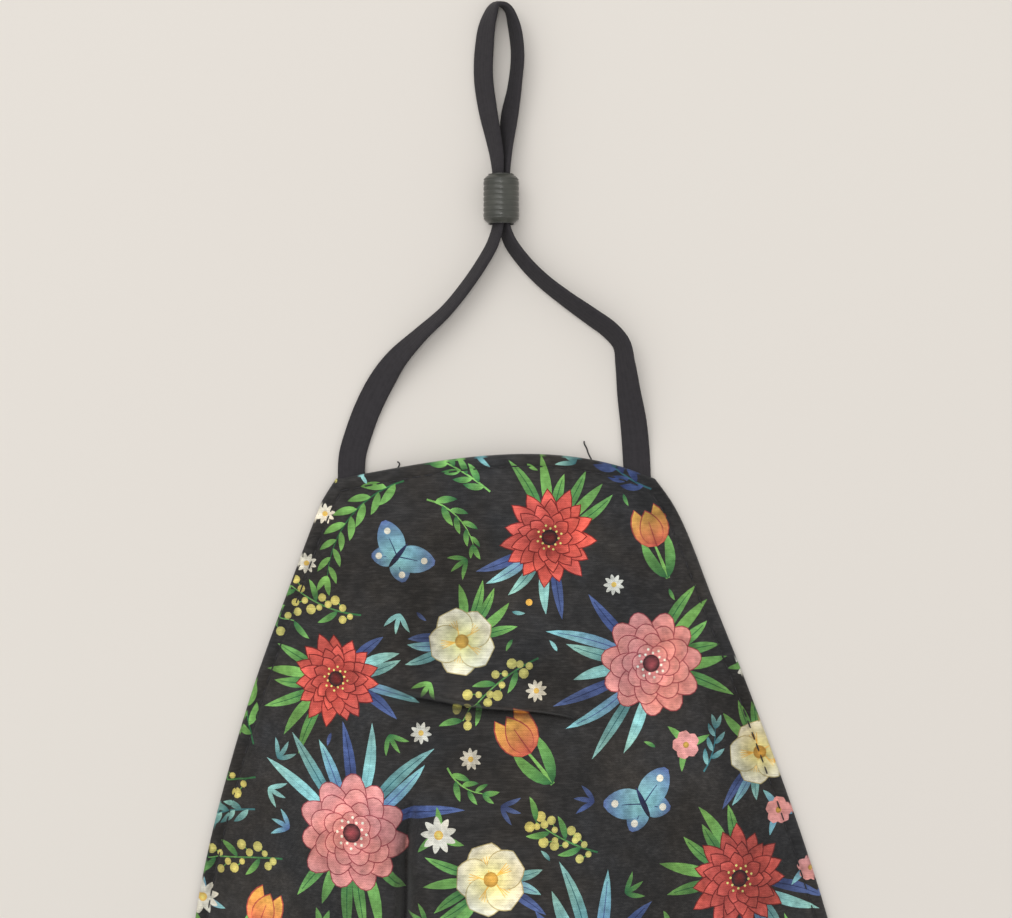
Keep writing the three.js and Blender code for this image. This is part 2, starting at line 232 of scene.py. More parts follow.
def sides_at(along):
    nose = EAR_EDGE_SHIFT - EAR_EDGE_WIDTH / 2
    chin = EAR_EDGE_SHIFT + EAR_EDGE_WIDTH / 2
    nose = nose + (-BODY_WIDTH / 2 - nose) * smooth(ALONG, NOSE, along)
    chin = chin + (BODY_WIDTH / 2 - chin) * smooth(ALONG, CHIN, along)
    return (nose + chin) / 2, (chin - nose) / 2


def ear_edge_bow(across):
    """How far the ear edge bows out past its corners, with its top nearer the chin edge."""
    leaning = across - EAR_EDGE_LEAN * (1 - across * across)
    return EAR_EDGE_ARCH * (1 - leaning * leaning)


def plan_point(along, across, inset=0.0):
    """A point of the plan, with across from -1 at the nose edge to 1 at the chin edge."""
    middle, half = sides_at(along)
    return middle + across * (half - inset), along * (PANEL_LENGTH + ear_edge_bow(across) - inset)


def plan_place(x, y):
    """Where a point of the plan is along and across the panel."""
    across = np.zeros_like(x)
    for _ in range(8):
        along = np.clip(y / (PANEL_LENGTH + ear_edge_bow(across)), 0, 1)
        middle, half = sides_at(along)
        across = np.clip((x - middle) / half, -1, 1)
    return along, across, half


def ripple(x, y, size, seed):
    """Smooth noise from -1 to 1 over the plan."""
    places = zip(np.ravel(x) / size, np.ravel(y) / size)
    return np.reshape([noise.noise(Vector((u, v, seed))) for u, v in places], np.shape(x))


def bell(distance, width):
    """A rounded bump of height 1."""
    return np.exp(-((distance / width) ** 2))


def left_of(line):
    """The directions to the left of a line of points."""
    along = np.gradient(line, axis=0)
    return np.stack([-along[:, 1], along[:, 0]], 1) / np.linalg.norm(along, axis=1)[:, None]


def run_along(line):
    """How far along a line of points each of them is."""
    return np.concatenate([[0], np.cumsum(np.linalg.norm(np.diff(line, axis=0), axis=1))])


def wander(share):
    """How far a crease strays to its left on its way."""
    return CREASE_WANDER * np.sin(share * 9.0)


def crease_lines(fold, count):
    """Lines along a crease, close together at its floor."""
    (x1, y1), (x2, y2) = fold[:2]
    share = np.linspace(0, 1, count)
    left = np.array([y1 - y2, x2 - x1]) / math.hypot(x2 - x1, y2 - y1)
    floor = np.column_stack([x1 + (x2 - x1) * share, y1 + (y2 - y1) * share]) + left * wander(share)[:, None]
    return [floor + left * side for side in CREASE_LINES]


def fold_depth(x, y, fold):
    """How far a fold takes the cloth down: a soft valley, or a crease with a step and a sharp floor."""
    (x1, y1), (x2, y2), depth, start_width, end_width, start, end = fold
    length = math.hypot(x2 - x1, y2 - y1)
    run = ((x - x1) * (x2 - x1) + (y - y1) * (y2 - y1)) / length**2
    share = np.clip(run, 0, 1)
    side = ((y1 - y2) * (x - x1) + (x2 - x1) * (y - y1)) / length
    past = (run - share) * length
    deepest = np.sin(np.pi * share) * (1 - max(start, end)) + start + (end - start) * share
    deepest = depth * np.minimum(deepest, 1) * bell(past, 3.0)
    width = start_width + (end_width - start_width) * share
    if start_width > CREASE_WIDTH:
        return deepest * bell(side, width)
    side = side - wander(share)
    step = -CREASE_STEP * np.tanh(side / 0.5) * np.exp(-np.abs(side) / np.where(side > 0, 4.0, 3.2))
    return deepest * (step + CREASE_VALLEY * bell(side, width))


def edge_line(name, inset, count):
    """One edge of a panel as points of the plan, moved in from the edge."""
    if name == "ear":
        points = plan_point(np.ones(count), np.linspace(-1, 1, count))
    else:
        points = plan_point(np.linspace(0, 1, count), np.full(count, -1.0 if name == "nose" else 1.0))
    points = np.stack(points, 1)
    return points + left_of(points) * (inset if name == "chin" else -inset)


EDGES = {name: edge_line(name, 0.0, 97) for name in ("nose", "ear", "chin")}


def distance_to_line(x, y, line):
    """How far points are from a line of points, and how far along it the nearest place is."""
    shape = np.shape(x)
    p = np.stack([np.ravel(x), np.ravel(y)], 1)
    nearest = np.full(len(p), np.inf)
    place = np.zeros(len(p))
    run = 0.0
    for a, b in zip(line[:-1], line[1:]):
        step = b - a
        length = math.hypot(*step)
        t = np.clip(((p - a) @ step) / length**2, 0, 1)
        away = np.linalg.norm(p - a - t[:, None] * step, axis=1)
        closer = away < nearest
        nearest[closer] = away[closer]
        place[closer] = run + t[closer] * length
        run += length
    return nearest.reshape(shape), place.reshape(shape)


def outer_height(x, y, folds, seed):
    """The cloth's outer face over the plan: the dome, its folds, and the turned and stitched hem."""
    along, across, half = plan_place(x, y)
    crown = CROWN_HEIGHT * smooth(ALONG, CROWN, along)
    leaning = across + PEAK_SHIFT * (1 - across * across)
    inward = half * (1 - np.abs(leaning)) - HEM_WIDTH
    rise = np.sin(np.pi / 2 * np.clip(inward / (half - HEM_WIDTH), 0, 1))
    z = HEM_THICKNESS + (crown - HEM_THICKNESS) * rise
    near = np.full(x.shape, np.inf)
    pucker = np.zeros(x.shape)
    for number, line in enumerate(EDGES.values()):
        away, place = distance_to_line(x, y, line)
        near = np.minimum(near, away)
        waves = ripple(place, np.full(x.shape, 7.0 * number), 3.4, seed + number)
        waves = waves + 0.6 * ripple(place, away, 7.0, seed + 9 + number)
        pucker += PUCKERS * waves * bell(away - HEM_WIDTH - 1.2, 3.6)
    inner = 1 - bell(near, 9.0)
    for fold in folds:
        z -= fold_depth(x, y, fold) * np.clip((near - 1.5) / 8, 0, 1)
    z += inner * (WIDE_WAVES * ripple(x, y, 32.0, seed + 20) + SMALL_WAVES * ripple(x, y, 12.0, seed + 30))
    z += pucker * np.clip(near / 2.0, 0, 1)
    z -= STITCH_GROOVE * bell(near - HEM_WIDTH, 0.42)
    z += HEM_SWELL * bell(near - 1.2, 0.9)
    z -= EDGE_DROP * bell(near, 0.5)
    seam = SEAM_DROP * np.exp(-y / 0.8)
    z -= seam + SEAM_GROOVE * bell(y - SEAM_ROW, 0.45) - SEAM_SWELL * bell(y - 2.2, 1.4)
    return np.maximum(z, LEAST_HEIGHT)


def face_height(folds, seed):
    """The outer face's height as a function of points of the plan."""
    return lambda points: outer_height(points[:, 0], points[:, 1], folds, seed)


def distance_to_edges(points, left_out=None):
    """How far points of the plan are from the panel's nearest edge."""
    near = np.full(len(points), np.inf)
    for name, line in EDGES.items():
        if name != left_out:
            near = np.minimum(near, distance_to_line(points[:, 0], points[:, 1], line)[0])
    return near


def inner_height(points, top):
    """The lining's face: flat on the table along the hem, and a wall's thickness below the outer face."""
    blend = np.clip((distance_to_edges(points) - HEM_TURN) / 3.2, 0, 1)
    blend = blend * blend * (3 - 2 * blend)
    return np.maximum(0, blend * (top - CLOTH_THICKNESS * 1.08))


def toned(colour, share):
    """A colour made lighter or darker."""
    return tuple(v * share for v in colour)


def polar(centre, angle, reach):
    """The point at an angle and a distance from a centre."""
    return centre[0] + reach * math.cos(angle), centre[1] + reach * math.sin(angle)


# A print's map of taken places: the size of a cell, its first corner, and its cells each way
MAP_CELL = 0.4
MAP_CORNER = (-80, -20)
MAP_SHAPE = (600, 400)

PETAL_LINE = 0.2


class Ink:
    """The shapes of a print, from the lowest to the topmost. Colours are one, or a near and a far one."""

    def __init__(self, seed):
        self.shapes = []
        self.random = random.Random(seed)
        self.taken = np.zeros(MAP_SHAPE, bool)

    def shape(self, points, colours, start, end=None, radius=None):
        """One flat shape, whose far colour is reached at end, or at radius all round start."""
        near, far = colours if len(colours) == 2 else (colours, colours)
        self.shapes.append((np.asarray(points, float), near, far, start, end, radius))

    def colour_at(self, number, points):
        _, near, far, start, end, radius = self.shapes[number]
        offset = points - np.asarray(start, float)
        if radius:
            t = np.linalg.norm(offset, axis=-1) / radius
        else:
            reach = np.asarray(end, float) - np.asarray(start, float)
            t = offset @ reach / (reach @ reach)
        t = np.clip(t, 0, 1)[..., None]
        return np.asarray(near) * (1 - t) + np.asarray(far) * t

    def disc(self, centre, radius, colours, sides=12):
        ring = [polar(centre, math.tau * k / sides, radius) for k in range(sides)]
        self.shape(ring, colours, centre, radius=radius)

    def band(self, line, offset, colours, back):
        """A shape out to an offset on both sides of a line of points."""
        sides = np.concatenate([line + offset, (line - offset)[back]])
        self.shape(sides, colours, tuple(line[0]), tuple(line[-1]))

    def ribbon(self, line, width, colours):
        """A thin tapering stroke along a line of points."""
        line = np.asarray(line, float)
        taper = np.linspace(1, 0.45, len(line))[:, None]
        self.band(line, left_of(line) * taper * width / 2, colours, slice(None, None, -1))

    def arc(self, start, angle, length, bend, count):
        """Points along a line that turns by bend, in radians, over its length."""
        points = [start]
        for k in range(count - 1):
            points.append(polar(points[-1], angle + bend * (k + 0.5) / (count - 1), length / (count - 1)))
        return points

    def leaf(self, base, angle, length, width, colours, bend=0.35, rib=None):
        line = np.asarray(self.arc(base, angle, length, bend, 8))
        t = np.linspace(0, 1, len(line))
        swell = (np.sin(np.pi * t**0.85) ** 0.8 * width / 2)[:, None]
        self.band(line, left_of(line) * swell, colours, slice(-2, 0, -1))
        if rib:
            self.ribbon(line[:-1], width * 0.11, rib)

    def edged_leaf(self, base, angle, length, width, colours, bend, edge):
        """A leaf with a fine darker line round it."""
        self.leaf(base, angle, length + 0.3, width + 2 * PETAL_LINE, edge, bend)
        self.leaf(base, angle, length, width, colours, bend)

    def petal(self, centre, angle, inner, outer, width, colours, notch=0.0):
        """One rounded petal, between two distances from a flower's middle."""
        t = np.linspace(0, 1, 9)
        reach = inner + (outer - inner) * t
        half = width / 2 * np.sin(np.pi * (0.12 + 0.86 * t) ** 0.9) ** 0.62
        reach[-1] -= notch * (outer - inner)
        sides = [*zip(reach, half), *zip(reach[::-1], -half[::-1])]
        cos, sin = math.cos(angle), math.sin(angle)
        ring = [(centre[0] + r * cos - h * sin, centre[1] + r * sin + h * cos) for r, h in sides]
        self.shape(ring, colours, centre, radius=outer)

    def edged_petal(self, centre, angle, inner, outer, width, colours, notch, edge):
        """A petal with a fine darker line round it."""
        self.petal(centre, angle, inner, outer + PETAL_LINE, width + 2 * PETAL_LINE, edge, notch)
        self.petal(centre, angle, inner, outer, width, colours, notch)

    def heart(self, centre, radius, turn, colour, dots):
        """A flower's dark middle, with two rings of small dots round it."""
        self.disc(centre, radius * 0.16, (colour, INK), 14)
        for k in range(16):
            spot = polar(centre, turn + math.tau * k / 16, radius * (0.19 + 0.07 * (k % 2)))
            self.disc(spot, radius * 0.026, dots, 6)

    def bloom(self, centre, radius, colours, dots):
        """A full flower of four rings of rounded petals."""
        turn = self.random.random()
        edge = toned(colours[0], 0.6)
        for layer, (share, petals) in enumerate(((1.0, 11), (0.78, 9), (0.56, 8), (0.37, 6))):
            for k in range(petals):
                angle = turn + layer * 0.4 + math.tau * (k + 0.25 * self.random.random()) / petals
                reach = radius * share * (0.93 + 0.1 * self.random.random())
                tones = [toned(c, 0.9 + 0.12 * (k % 2) - 0.03 * layer) for c in colours]
                width = radius * share * 5.2 / petals
                self.edged_petal(centre, angle, reach * 0.3, reach, width, tones, 0.05, edge)
        self.heart(centre, radius, turn, colours[0], dots)

    def dahlia(self, centre, radius, colours, dots):
        """A full flower of three rings of pointed petals."""
        turn = self.random.random()
        edge = toned(colours[0], 0.55)
        for layer, (share, petals) in enumerate(((1.0, 15), (0.76, 13), (0.52, 10))):
            for k in range(petals):
                angle = turn + layer * 0.21 + math.tau * (k + 0.3 * self.random.random()) / petals
                reach = radius * share * (0.88 + 0.2 * self.random.random())
                tones = [toned(c, 0.88 + 0.12 * (k % 3) - 0.02 * layer) for c in colours]
                foot = 0.16 * radius
                width = radius * share * 5.4 / petals
                self.edged_leaf(polar(centre, angle, foot), angle, reach - foot, width, tones, 0.05, edge)
        self.heart(centre, radius, turn, colours[0], dots)

    def rosette(self, centre, radius, colours, heart, edge=None, vein=None):
        """A simple flower of five broad notched petals, with veins where they have an edge."""
        turn = self.random.random() * math.tau
        for k in range(5):
            angle = turn + math.tau * k / 5
            tones = [toned(c, 0.92 + 0.08 * (k % 2)) for c in colours]
            if not edge:
                self.petal(centre, angle, radius * 0.08, radius, radius * 0.9, tones, 0.12)
                continue
            self.edged_petal(centre, angle, radius * 0.08, radius, radius, tones, 0.12, edge)
            for spread in (-0.3, -0.1, 0.1, 0.3):
                line = self.arc(polar(centre, angle, 0.2 * radius), angle + spread, radius * 0.4, 0, 4)
                self.ribbon(line, radius * 0.035, vein)
        self.disc(centre, radius * 0.2, (heart, toned(heart, 0.5)))

    def daisy(self, centre, radius, colour):
        """A small flower of narrow rounded petals."""
        turn = self.random.random()
        for k in range(9):
            shade = toned(colour, 0.88 + 0.12 * (k % 2))
            self.petal(centre, turn + math.tau * k / 9, radius * 0.15, radius, radius * 0.42, shade)
        self.disc(centre, radius * 0.26, (LEMON, AMBER), 10)

    def tulip(self, base, angle, size, colours, stem):
        """A closed cup of three petals on a short stem with two leaves."""
        foot = polar(base, angle, -0.55 * size)
        self.ribbon(self.arc(foot, angle, size * 0.6, 0.1, 5), size * 0.07, stem)
        for side in (-1, 1):
            self.leaf(foot, angle + side * 0.6, size * 0.8, size * 0.17, (DARK_LEAF, LEAF), -side * 0.7)
        edge = toned(colours[0], 0.55)
        for side in (-1, 1, 0):
            heading, bend = angle + side * 0.62, -side * 0.75
            length, width = size * (0.7 if side else 0.6), size * (0.3 if side else 0.36)
            tones = [toned(c, 1.0 if side else 0.86) for c in colours]
            self.edged_leaf(base, heading, length, width, tones, bend, edge)
            self.ribbon(self.arc(base, heading, length * 0.7, bend, 6), width * 0.07, edge)

    def butterfly(self, centre, angle, size, colours):
        for side in (-1, 1):
            for spread, reach, width in ((2.2, 0.42, 0.34), (1.05, 0.62, 0.44)):
                heading = angle + side * spread
                self.petal(centre, heading, 0.02 * size, reach * size, width * size, colours)
                self.disc(polar(centre, heading, reach * 0.72 * size), size * 0.055, CREAM, 9)
                vein = self.arc(centre, heading, reach * size * 0.55, side * 0.1, 5)
                self.ribbon(vein, size * 0.022, DEEP_BLUE)
        foot = polar(centre, angle, -0.24 * size)
        self.leaf(foot, angle, size * 0.52, size * 0.085, (INK, DEEP_BLUE), 0)

    def sprig(self, start, angle, length, bend, colours, stem, leaf):
        """A curved stem with pairs of narrow leaves."""
        pairs = max(3, round(length / (leaf * 0.68)))
        line = self.arc(start, angle, length, bend, 2 * pairs + 1)
        self.ribbon(line, 0.38, stem)
        for k in range(1, pairs + 1):
            heading = angle + bend * k / pairs
            size = leaf * (1.05 - 0.35 * k / pairs) * (0.9 + 0.2 * self.random.random())
            for side in (-1, 1):
                spread = side * (0.62 + 0.2 * self.random.random())
                foot = line[2 * k - (side > 0)]
                self.leaf(foot, heading + spread, size, size * 0.31, colours[::-side], -side * 0.4)
        self.leaf(line[-1], angle + bend, leaf * 0.75, leaf * 0.24, colours)

    def berries(self, start, angle, length, bend):
        """A curved stem with side twigs of small round berries and narrow leaves."""
        line = self.arc(start, angle, length, bend, 13)
        self.ribbon(line, 0.38, (DARK_LEAF, LEAF))
        for k in range(1, 13):
            side = 1 if k % 2 else -1
            heading = angle + bend * k / 12 + side * (0.8 + 0.3 * self.random.random())
            twig = self.arc(line[k], heading, 2.2 + 1.6 * self.random.random(), -side * 0.5, 4)
            if k % 3 == 0:
                self.leaf(line[k], heading, 5.0, 1.3, (DARK_LEAF, LEAF), -side * 0.5)
                continue
            self.ribbon(twig, 0.25, (DARK_LEAF, LEAF))
            for spot, size in ((twig[-1], 0.95), (twig[1], 0.72)):
                size *= 0.85 + 0.3 * self.random.random()
                self.disc(spot, size, (LEMON, toned(LEMON, 0.7)), 10)

    def fan(self, centre, radius, first, count, palette, reach):
        """Leaves that stand out round a flower, to be drawn before it."""
        for k in range(count):
            angle = first + 0.3 * k + 0.12 * self.random.random()
            start = polar(centre, angle, 0.5 * radius)
            colours = palette[k % len(palette)]
            length = radius * (reach - 0.5) * (0.75 + 0.5 * self.random.random())
            bend = 0.9 * (self.random.random() - 0.5)
            vein = toned(colours[0], 0.75)
            self.leaf(start, angle, length, 1.1 + 0.11 * radius, colours, bend, vein)
            for spot in self.arc(start, angle, length, bend, 6):
                self.take(spot, 1.0)

    def cells(self, spot, radius):
        """The part of the map round a point, and which of its cells are within the radius."""
        column, row = ((v - low) / MAP_CELL for v, low in zip(spot, MAP_CORNER))
        reach = radius / MAP_CELL
        columns = np.arange(max(0, int(column - reach)), min(MAP_SHAPE[0], int(column + reach) + 2))
        rows = np.arange(max(0, int(row - reach)), min(MAP_SHAPE[1], int(row + reach) + 2))
        within = (columns[:, None] - column) ** 2 + (rows[None] - row) ** 2 < reach**2
        return np.ix_(columns, rows), within

    def take(self, spot, radius):
        place, within = self.cells(spot, radius)
        self.taken[place] |= within

    def free(self, spot, radius):
        place, within = self.cells(spot, radius)
        return not (self.taken[place] & within).any()


GREENS = [(DARK_LEAF, LEAF), (LEAF, toned(LEAF, 0.6)), (DARK_LEAF, toned(LEAF, 0.8))]
BLUES = [(DEEP_BLUE, BLUE), (BLUE, AQUA), (DEEP_TEAL, TEAL), (AQUA, TEAL)]

# The leaves round each kind of large motif: where they start, how many, their colours and how far they reach
LEAVES = {
    "coral": [(0.0, 6, GREENS, 1.6), (3.2, 5, BLUES, 1.65)],
    "pink": [(0.0, 8, BLUES, 1.75), (3.6, 6, GREENS, 1.55)],
    "cream": [(0.0, 5, GREENS, 1.9), (2.8, 3, BLUES, 1.7)],
}

# The sprigs: up to which share of the draws each kind goes, its leaves' colours, its stem's and their length.
# The draws below the first share are berries.
BERRY_SHARE = 0.22
SPRIGS = [
    (0.44, (DEEP_BLUE, BLUE), DEEP_TEAL, 5.2),
    (0.64, (DARK_LEAF, LEAF), LEAF, 4.6),
    (0.82, (LEAF, toned(LEAF, 0.6)), DARK_LEAF, 5.6),
    (1.0, (DEEP_TEAL, TEAL), DEEP_TEAL, 4.2),
]


def draw_leaves(ink, kind, x, y, size, turn):
    """The leaves round one of the print's large motifs."""
    for first, count, palette, reach in LEAVES.get(kind, []):
        ink.fan((x, y), size, turn + first, count, palette, reach)
    ink.take((x, y), size * 1.12)


def draw_feature(ink, kind, x, y, size, turn):
    """One of the print's large motifs."""
    centre = (x, y)
    if kind == "coral":
        ink.dahlia(centre, size, (DEEP_CORAL, CORAL), LEMON)
    elif kind == "pink":
        ink.bloom(centre, size, (ROSE, PINK), CREAM)
    elif kind == "cream":
        ink.rosette(centre, size, (LEMON, CREAM), AMBER, STRAW, AMBER)
    elif kind == "aqua":
        ink.butterfly(centre, turn, size * 1.5, (AQUA, BLUE))
    elif kind == "amber":
        ink.tulip(centre, turn, size * 1.6, (CORAL, AMBER), LEAF)


def small_motif(ink, centre, radius, angle, choice):
    colours = (GREENS + BLUES)[int(choice * 69.9) % 7]
    foot = polar(centre, angle, -radius * 0.8)
    if radius > 4:
        for side in (0.5, 2.6, 4.6):
            ink.leaf(centre, angle + side, radius * 1.3, radius * 0.34, colours)
        if choice < 0.6:
            ink.daisy(centre, radius * 0.85, CREAM)
        else:
            ink.rosette(centre, radius * 0.75, (PINK, CREAM if choice < 0.8 else PINK), AMBER)
    elif radius > 2:
        if choice < 0.7:
            for side in (-0.7, 0.0, 0.7):
                ink.leaf(foot, angle + side, radius * 1.6, radius * 0.36, colours)
        else:
            ink.daisy(centre, radius * 0.8, CREAM if choice < 0.9 else CORAL)
    elif choice < 0.5:
        ink.leaf(foot, angle, radius * 1.7, radius * 0.5, colours)
    elif choice < 0.6:
        ink.disc(centre, 0.7, (LEMON, AMBER), 10)


def anywhere(pick):
    """A random point of a panel's plan."""
    return pick.uniform(-BODY_WIDTH / 2, BODY_WIDTH / 2), pick.uniform(0, PANEL_HIGH[1])


def fill_gaps(ink):
    """Sprigs along the free strips, then small flowers, sprays and buds in what is left."""
    pick = ink.random
    for length, room, tries in ((27.0, 2.9, 2500), (20.0, 2.7, 4000), (14.0, 2.5, 5000), (9.0, 2.3, 3500)):
        for _ in range(tries):
            start = anywhere(pick)
            angle, bend, choice = pick.uniform(0, math.tau), pick.uniform(-1.3, 1.3), pick.random()
            stem = ink.arc(start, angle, length, bend, 7)
            if not all(ink.free(spot, room) for spot in stem):
                continue
            if choice < BERRY_SHARE:
                ink.berries(start, angle, length, bend)
            else:
                look = next(look for most, *look in SPRIGS if choice < most)
                ink.sprig(start, angle, length, bend, *look)
            for spot in stem:
                ink.take(spot, room)
    for radius, tries in ((4.2, 1500), (2.7, 1600), (1.6, 1000)):
        for _ in range(tries):
            spot = anywhere(pick)
            angle, choice = pick.uniform(0, math.tau), pick.random()
            if ink.free(spot, radius * 0.85):
                small_motif(ink, spot, radius, angle, choice)
                ink.take(spot, radius)


# The large motifs of each panel's print: kind, x, y, radius and turn in radians
LEFT_FEATURES = [
    ("coral", 6.0, 101.0, 9.8, 0.4),
    ("aqua", -25.5, 97.0, 8.5, 0.9),
    ("amber", 28.5, 99.0, 8.0, 1.9),
    ("pink", 27.0, 75.0, 11.2, 2.3),
    ("cream", -12.0, 80.0, 7.2, 0.2),
    ("coral", -38.0, 72.0, 9.4, 2.6),
    ("amber", 2.0, 58.0, 8.5, 2.2),
    ("cream", 50.0, 56.0, 7.0, 1.1),
    ("aqua", 25.0, 47.0, 9.0, 2.0),
    ("pink", -34.0, 42.0, 11.6, 0.3),
    ("coral", 45.0, 31.0, 10.4, 1.6),
    ("cream", -6.0, 34.0, 7.4, 2.9),
    ("amber", -54.0, 21.0, 8.0, 1.2),
    ("aqua", -26.0, 13.0, 8.5, 0.5),
    ("pink", 14.0, 13.0, 13.0, 1.0),
    ("cream", 58.0, 6.0, 8.0, 0.7),
]
RIGHT_FEATURES = [
    ("coral", -30.0, 12.0, 10.4, 0.9),
    ("amber", 4.0, 14.0, 8.5, 2.0),
    ("cream", 32.0, 8.0, 8.5, 0.4),
    ("aqua", 54.0, 18.0, 9.0, 1.3),
    ("pink", 27.0, 36.0, 13.5, 2.0),
    ("cream", -52.0, 33.0, 8.0, 0.2),
    ("aqua", -16.0, 40.0, 9.0, 2.6),
    ("coral", -36.0, 58.0, 10.0, 1.4),
    ("amber", 51.0, 55.0, 8.0, 0.9),
    ("pink", 2.0, 66.0, 13.0, 0.6),
    ("cream", 33.0, 72.0, 8.5, 2.2),
    ("amber", -29.0, 86.0, 8.0, 2.5),
    ("coral", 14.0, 94.0, 9.8, 0.3),
    ("aqua", -13.0, 104.0, 8.5, 1.6),
]


def panel_print(features, seed):
    ink = Ink(seed)
    for feature in features:
        draw_leaves(ink, *feature)
    fill_gaps(ink)
    for feature in features:
        draw_feature(ink, *feature)
    return ink


def panel_outline():
    """The panel's plan as one closed ring, from the seam along the nose edge, the ear edge and back."""
    count = round(PANEL_LENGTH / OUTLINE_STEP)
    nose = edge_line("nose", EDGE_ROUNDING, count)
    chin = edge_line("chin", EDGE_ROUNDING, count)[::-1]
    ear = edge_line("ear", EDGE_ROUNDING, round(EAR_EDGE_WIDTH / OUTLINE_STEP))
    ear = [p for p in ear if nose[-1][0] + EAR_CORNER < p[0] < chin[0][0] - EAR_CORNER]
    seam = np.linspace(chin[-1], nose[0], round(BODY_WIDTH / OUTLINE_STEP))[1:-1]
    seam[:, 1] = 0.0
    ring = np.concatenate([nose, ear, chin, seam])
    ring[:, 1] = np.maximum(ring[:, 1], 0.0)
    return ring


def inside(ring, points):
    """Which points lie inside a closed ring."""
    x, y = points[:, 0], points[:, 1]
    odd = np.zeros(len(points), bool)
    for (x1, y1), (x2, y2) in zip(ring, np.roll(ring, -1, 0)):
        if y1 != y2:
            odd ^= ((y1 > y) != (y2 > y)) & (x < (x2 - x1) * (y - y1) / (y2 - y1) + x1)
    return odd


def triangulate(ring, points, lines, shapes):
    """Triangles inside the ring, along the lines and the shapes' edges, each with its topmost shape or -1."""
    coordinates, edges = [], []
    parts = [(ring, True), *((line, False) for line in lines), *((shape, True) for shape in shapes)]
    for line, closed in parts:
        first = len(coordinates)
        coordinates += [Vector(p) for p in line]
        edges += [(k, k + 1) for k in range(first, len(coordinates) - 1)]
        if closed:
            edges.append((len(coordinates) - 1, first))
    coordinates += [Vector(p) for p in points]
    made = delaunay_2d_cdt(coordinates, edges, [], 0, 1e-4, False)
    places, corners = np.array([tuple(v) for v in made[0]]), np.array(made[2])
    a, b, c = (places[corners[:, k]] for k in range(3))
    area = (b[:, 0] - a[:, 0]) * (c[:, 1] - a[:, 1]) - (b[:, 1] - a[:, 1]) * (c[:, 0] - a[:, 0])
    corners[area < 0] = corners[area < 0][:, ::-1]
    corners = corners[np.abs(area) > 1e-9]
    middles = places[corners].mean(axis=1)
    within = inside(np.asarray(ring), middles)
    corners, middles = corners[within], middles[within]
    owners = np.full(len(corners), -1)
    for number, shape in enumerate(shapes):
        low, high = shape.min(axis=0), shape.max(axis=0)
        near = np.nonzero(((middles >= low) & (middles <= high)).all(axis=1))[0]
        owners[near[inside(shape, middles[near])]] = number
    used, index = np.unique(corners, return_inverse=True)
    return places[used], index.reshape(-1, 3), owners


def rim_of(triangles):
    """The vertices round the outside of a patch of triangles, in order."""
    edges = {edge for a, b, c in triangles.tolist() for edge in ((a, b), (b, c), (c, a))}
    following = {a: b for a, b in edges if (b, a) not in edges}
    rim = [next(iter(following))]
    while following[rim[-1]] != rim[0]:
        rim.append(following[rim[-1]])
    return rim


def grid_points(step, first_row):
    """Points all over a panel's plan, in staggered rows."""
    points = []
    for k, y in enumerate(np.arange(first_row, PANEL_HIGH[1], step * 0.87)):
        for x in np.arange(-BODY_WIDTH / 2 + (k % 2) * step / 2, BODY_WIDTH / 2, step):
            points.append((x, y))
    return points


def add_piece(name, vertices, faces):
    """A smooth piece from places in millimetres."""
    mesh = bpy.data.meshes.new(name)
    mesh.from_pydata((np.asarray(vertices) * MM).tolist(), [], faces)
    mesh.shade_smooth()
    piece = bpy.data.objects.new(name, mesh)
    bpy.context.collection.objects.link(piece)
    return piece


